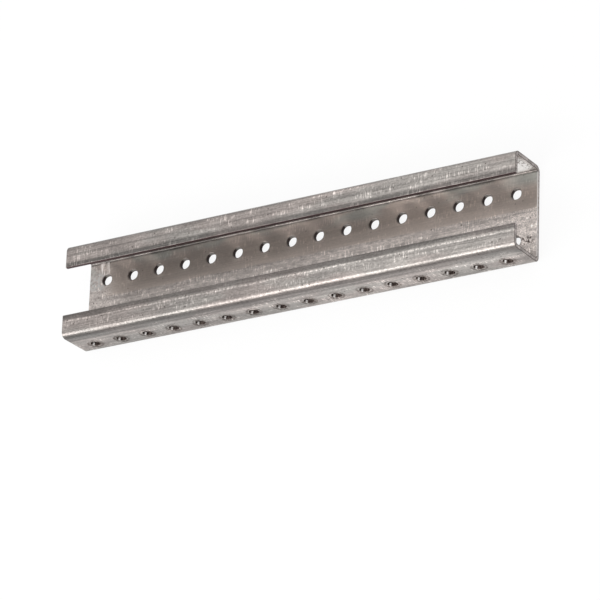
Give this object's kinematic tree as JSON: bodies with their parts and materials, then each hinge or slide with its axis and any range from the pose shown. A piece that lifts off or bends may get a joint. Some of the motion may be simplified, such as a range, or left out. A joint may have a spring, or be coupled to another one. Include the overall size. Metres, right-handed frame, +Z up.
{
  "type": "perforated c-section mounting rail",
  "caption": "Short galvanised steel C-section mounting rail with inward lips, a wide slot and evenly punched round holes along its web and both flanges.",
  "frame": {"origin": "centre of the back of the web, on the surface that the rail lies on", "axes": "+X along the rail towards the end with the wider margin, +Y across the rail, +Z up out of the slot between the lips"},
  "size_m": [0.205, 0.0396, 0.019],
  "materials": {
    "galvanised_sheet": "hot-dip galvanised sheet, satin grey with drawn streaks and fine spangle"
  },
  "bodies": {
    "root": {"c_rail": "galvanised_sheet"}
  },
  "joints": []
}
